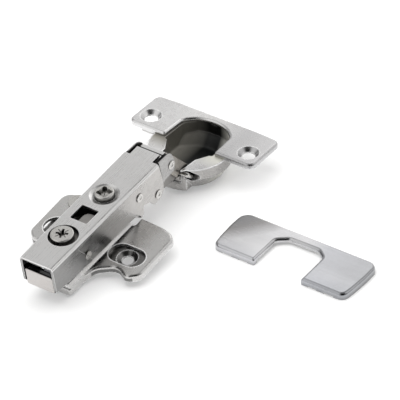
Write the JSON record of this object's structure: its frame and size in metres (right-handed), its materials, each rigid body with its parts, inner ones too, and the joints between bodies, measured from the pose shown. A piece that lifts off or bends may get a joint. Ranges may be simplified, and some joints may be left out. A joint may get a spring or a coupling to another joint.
{
  "type": "concealed cabinet hinge",
  "caption": "Clip-on concealed cabinet hinge with a round steel cup, shown open on its wing mounting plate, with the loose cover of its cup flange beside it.",
  "frame": {"origin": "on the seat of the mounting plate, midway between its two screw holes", "axes": "+X along the arm towards the cup, +Y towards the wing that carries the height cam, +Z away from the cabinet side"},
  "size_m": [0.1203, 0.1308, 0.0334],
  "materials": {
    "plate_steel": "satin nickel plating",
    "arm_steel": "satin nickel plating",
    "inner_steel": "satin nickel plating",
    "cup_steel": "satin nickel plating, bright edges",
    "cover_steel": "polished nickel plating",
    "screw_steel": "nickel plating",
    "pin_steel": "bright drawn steel",
    "spring_steel": "oiled spring steel"
  },
  "bodies": {
    "base_body": {"base_plate": "plate_steel", "guide_rivets": "pin_steel", "cover_plate": "cover_steel"},
    "top_body": {"wing_plate": "plate_steel", "clip_carrier": "inner_steel", "clip_pin": "pin_steel"},
    "cam_body": {"height_cam": "screw_steel"},
    "slide_body": {"depth_slide": "inner_steel"},
    "depth_screw_body": {"depth_screw": "screw_steel"},
    "side_screw_body": {"side_screw": "screw_steel"},
    "arm_body": {"arm_housing": "arm_steel", "front_bracket": "arm_steel", "arm_pin_inner": "pin_steel", "arm_pin_outer": "pin_steel", "spring_pin": "pin_steel", "closing_spring": "spring_steel", "lever_pins": "pin_steel", "lever_spring": "spring_steel"},
    "lever_body": {"release_lever": "arm_steel"},
    "outer_link_body": {"outer_link": "arm_steel"},
    "cup_body": {"cup": "cup_steel", "cup_pin": "pin_steel"},
    "inner_link_body": {"inner_link": "inner_steel"}
  },
  "joints": [
    {"name": "height_slide", "type": "slide", "parent": "base_body", "child": "top_body", "axis": [0, 1, 0], "range_m": [-0.002, 0.002]},
    {"name": "height_cam_turn", "type": "hinge", "parent": "top_body", "child": "cam_body", "pos_m": [0.0152, 0.0193, 0.0034], "axis": [0, 0, 1], "range_deg": [-60.5, 60.5]},
    {"name": "depth_slide_move", "type": "slide", "parent": "top_body", "child": "slide_body", "axis": [0.9995, 0, -0.0318], "range_m": [-0.002, 0.002]},
    {"name": "depth_screw_turn", "type": "hinge", "parent": "slide_body", "child": "depth_screw_body", "pos_m": [-0.01639, 0.0005, 0.02082], "axis": [0.0318, 0, 0.9995], "range_deg": [-180, 180]},
    {"name": "arm_tilt", "type": "hinge", "parent": "slide_body", "child": "arm_body", "pos_m": [-0.0133, 0, 0.0113], "axis": [0, -1, 0], "range_deg": [-1.3, 1.3]},
    {"name": "side_screw_turn", "type": "hinge", "parent": "slide_body", "child": "side_screw_body", "pos_m": [0.0109, 0, 0.01995], "axis": [0.0318, 0, 0.9995], "range_deg": [-361, 361]},
    {"name": "release_lever_lift", "type": "hinge", "parent": "arm_body", "child": "lever_body", "pos_m": [-0.0133, 0, 0.0113], "axis": [0, 1, 0], "range_deg": [0, 10], "stiffness_Nm_per_rad": 0.02, "springref_deg": -20.05, "deforming": ["lever_spring"]},
    {"name": "outer_link_swing", "type": "hinge", "parent": "arm_body", "child": "outer_link_body", "pos_m": [0.0437, 0, 0.0118], "axis": [0, -1, 0], "range_deg": [-30, 0]},
    {"name": "cup_fold", "type": "hinge", "parent": "outer_link_body", "child": "cup_body", "pos_m": [0.05431, 0, -0.00353], "axis": [0, -1, 0], "range_deg": [0, 128.4], "deforming": ["closing_spring"]},
    {"name": "inner_link_swing", "type": "hinge", "parent": "cup_body", "child": "inner_link_body", "pos_m": [0.05051, 0, 0.00148], "axis": [0, -1, 0], "range_deg": [-148.4, 0]}
  ],
  "couplings": [
    {"joint": "height_cam_turn", "follows": "height_slide", "rad_per_m": 525},
    {"joint": "depth_screw_turn", "follows": "depth_slide_move", "rad_per_m": 1570},
    {"joint": "side_screw_turn", "follows": "arm_tilt", "ratio": 276.9},
    {"joint": "outer_link_swing", "follows": "cup_fold", "ratio": -0.2336},
    {"joint": "inner_link_swing", "follows": "cup_fold", "ratio": -1.1557}
  ]
}
